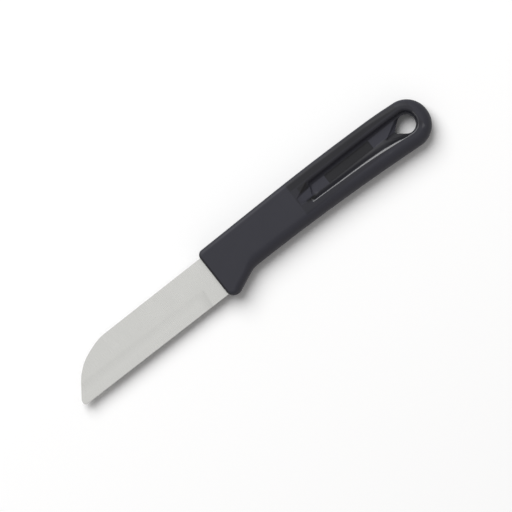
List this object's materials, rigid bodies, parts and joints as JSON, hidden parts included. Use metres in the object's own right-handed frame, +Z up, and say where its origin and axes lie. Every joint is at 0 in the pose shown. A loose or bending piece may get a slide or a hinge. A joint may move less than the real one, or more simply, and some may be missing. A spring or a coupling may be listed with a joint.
{
  "type": "paring knife",
  "caption": "Paring knife with a straight-edged sheepsfoot blade and a black moulded handle that has a guard nose, a long recess in each side and an egg-shaped hang hole.",
  "frame": {"origin": "middle of the knife's box on the surface that it lies on", "axes": "+X from the tip of the blade to the butt of the handle, +Y from the cutting edge to the spine, +Z up through the thickness, from one flat side of the handle to the other"},
  "size_m": [0.1866, 0.024, 0.009],
  "materials": {
    "blade_steel": "fine satin grinding across the blade, plain, no marks",
    "handle_plastic": "moulded black plastic with a very fine matte texture, slightly smoother on the rims of the recess"
  },
  "bodies": {
    "root": {"blade": "blade_steel", "handle": "handle_plastic"}
  },
  "joints": []
}
